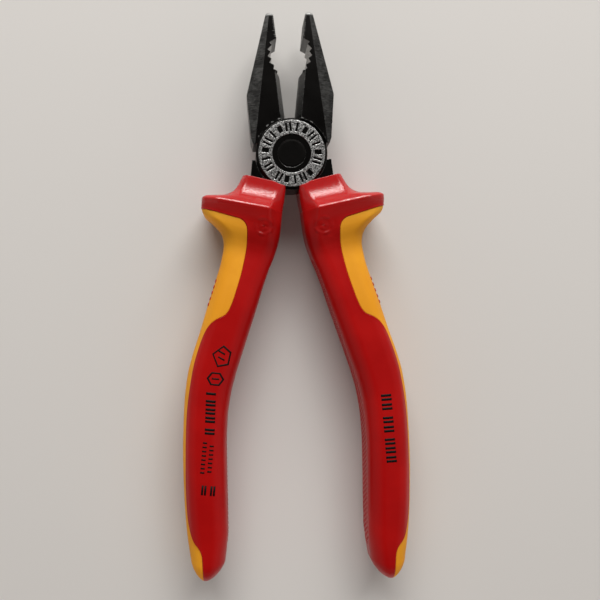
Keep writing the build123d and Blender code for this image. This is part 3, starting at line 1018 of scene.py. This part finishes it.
def sign_prints(height_at):
    """Outlined pentagon with two strokes in it and outlined hexagon with one."""
    wide, high = HEXAGON_RADII
    hexagon = [(wide * math.cos(a), high * math.sin(a)) for a in np.radians(range(0, 360, 60))]
    prints = [
        outline_print(PENTAGON_AT, PENTAGON, height_at),
        outline_print(HEXAGON_AT, hexagon, height_at),
    ]
    stroke = (SIGN_STROKE, STROKE)
    for step in PENTAGON_STROKES:
        middle = (PENTAGON_AT[0], PENTAGON_AT[1] + step)
        prints.append(bar_print(middle, stroke, height_at, PENTAGON_TURN))
    prints.append(bar_print(HEXAGON_AT, stroke, height_at))
    return prints


def left_prints(height_at):
    """Two plain outlined shapes, a row of thick bars, two fine rows and four upright bars."""
    prints = sign_prints(height_at)
    for y in THICK_BARS:
        x = THICK_X + THICK_SLOPE * (y - THICK_BARS[0])
        prints.append(bar_print((x, y), THICK_BAR, height_at))
    for x, first, count in FINE_ROWS:
        for index in range(count):
            prints.append(bar_print((x, first - FINE_PITCH * index), FINE_BAR, height_at))
    for x in UPRIGHT_BARS:
        prints.append(bar_print((x, UPRIGHT_Y), UPRIGHT_BAR, height_at))
    return prints


def right_prints(height_at):
    """Seven pairs of bars in groups of two, two and three."""
    prints = []
    for y in BAR_PAIRS:
        x = PAIRS_X + PAIRS_SLOPE * (y - BAR_PAIRS[0])
        for step in (-PAIR_HALF, PAIR_HALF):
            prints.append(bar_print((x, y + step), PAIRED_BAR, height_at, PAIRS_TURN))
    return prints


def surface_height(tree, facing):
    """Function that gives the height of a skin's front (1) or back (-1) at a place."""
    def height_at(x, y):
        start = Vector((x, y, facing * ABOVE_SKIN))
        return tree.ray_cast(start, Vector((0, 0, -facing)))[0].z

    return height_at


def build_prints(skin, material):
    """Generic printed marks on the front face of each handle.

    The left grip is the right-hand shape turned over, so its front is that shape's back.
    """
    corners, faces = skin
    tree = BVHTree.FromPolygons(corners.tolist(), faces)
    for side, hand, body in HANDS:
        printed = right_prints if side > 0 else left_prints
        thing = new_piece(f"{hand}_printed_marks", *joined(printed(surface_height(tree, side))))
        finish_piece(thing, side, body, "red_grip", material)


def dress_steel():
    """Materials of the CAD nodes that stay."""
    finishes = {
        # The back lever's ground facets are given less paleness than the front lever's: painted
        # shade where the right jaw catches more of the window's reflection
        "front_lever": steel("front_lever_steel", side=-1, face=2 * HALF_JOINT * MM, ground=0.17),
        "back_lever": steel("back_lever_steel", side=1, face=0.0, ground=0.115),
        "pivot_rivet": rivet_finish(),
    }
    for name, material in finishes.items():
        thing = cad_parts[name]
        if thing.material_slots:
            for slot in thing.material_slots:
                slot.material = material
        else:
            thing.data.materials.append(material)


# ---------------------------------------------------------------- stage, lights, camera

def build_stage():
    """Pale floor that the pliers lie on."""
    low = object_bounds()[0]
    mesh = bpy.data.meshes.new("floor")
    ways = ((-1, -1), (1, -1), (1, 1), (-1, 1))
    corners = [(x * FLOOR_REACH * MM, y * FLOOR_REACH * MM, low[2]) for x, y in ways]
    mesh.from_pydata(corners, [], [(0, 1, 2, 3)])
    floor = bpy.data.objects.new("floor", mesh)
    bpy.context.scene.collection.objects.link(floor)
    mesh.materials.append(floor_material())


def area_light(name, place, size, power, colour, mirrored=True):
    """Soft rectangular light that faces the pliers, in metres and watts.

    mirrored says whether its own reflection shows.
    """
    data = bpy.data.lights.new(name, "AREA")
    data.shape = "RECTANGLE"
    data.size, data.size_y = size
    data.energy = power
    data.color = colour
    light = bpy.data.objects.new(name, data)
    light.location = place
    light.visible_glossy = mirrored
    light.rotation_euler = (Vector(LIT_POINT) - Vector(place)).to_track_quat("-Z", "Y").to_euler()
    bpy.context.scene.collection.objects.link(light)


def build_lights():
    """Wide window beyond the jaws, and a low soft fill beyond the handles."""
    area_light("window", (0.10, 1.00, 0.74), size=(1.3, 0.80), power=24.0, colour=(1.0, 0.985, 0.96))
    area_light(
        "low_fill", (0.0, -1.20, 0.30), size=(2.4, 0.6), power=8.6, colour=(1.0, 0.88, 0.83),
        mirrored=False,
    )


def build_surround():
    """Dim surround that is brightest at the two sides."""
    world = bpy.data.worlds.new("surround")
    bpy.context.scene.world = world
    world.use_nodes = True
    tree = world.node_tree
    way = node(tree, "ShaderNodeTexCoord").outputs["Generated"]
    left, right = (
        ramp(tree, dot_with(tree, way, Vector((side, 0, SKY_RISE)).normalized()), 0.2, 1.0)
        for side in (-1, 1)
    )
    shade = math_node(tree, "ADD", larger(tree, left, right), SKY_LEAST)
    colour = mix_colour(tree, shade, *SKY_TONES)
    feed(tree, tree.nodes["Background"], {0: colour, 1: SKY_STRENGTH})
    bpy.context.scene.view_settings.view_transform = "Standard"


def build_camera():
    """Camera straight above the left handle, so that the right handle's inner wall shows."""
    turn = Matrix.Rotation(-IMAGE_ROLL, 4, "Z")
    place = turn @ Vector((*CAMERA_XY, HALF_JOINT + CAMERA_HEIGHT))
    data = bpy.data.cameras.new("camera")
    data.sensor_width = 36.0
    data.lens = data.sensor_width * CAMERA_HEIGHT / FRAME_WIDTH
    data.shift_x = (LOOK_X - CAMERA_XY[0]) / FRAME_WIDTH
    data.clip_start = 0.01
    camera = bpy.data.objects.new("camera", data)
    camera.matrix_world = Matrix.Translation(place * MM) @ turn
    bpy.context.scene.collection.objects.link(camera)
    bpy.context.scene.camera = camera


red = plastic("red_moulding", RED_TONES, rough=0.30, grain=0.17, shine=0.30)
yellow = plastic("yellow_moulding", YELLOW_TONES, rough=0.58, grain=0.2, shine=0.2)
build_camera()
surfaces = grip_surfaces()
build_grips(surfaces, {"grip_body": (red, "red_grip"), "soft_zone": (yellow, "yellow_grip")})
build_bars(red)
build_prints(shell(surfaces["grip_body"]), ink())
dress_steel()
build_stage()
build_lights()
build_surround()
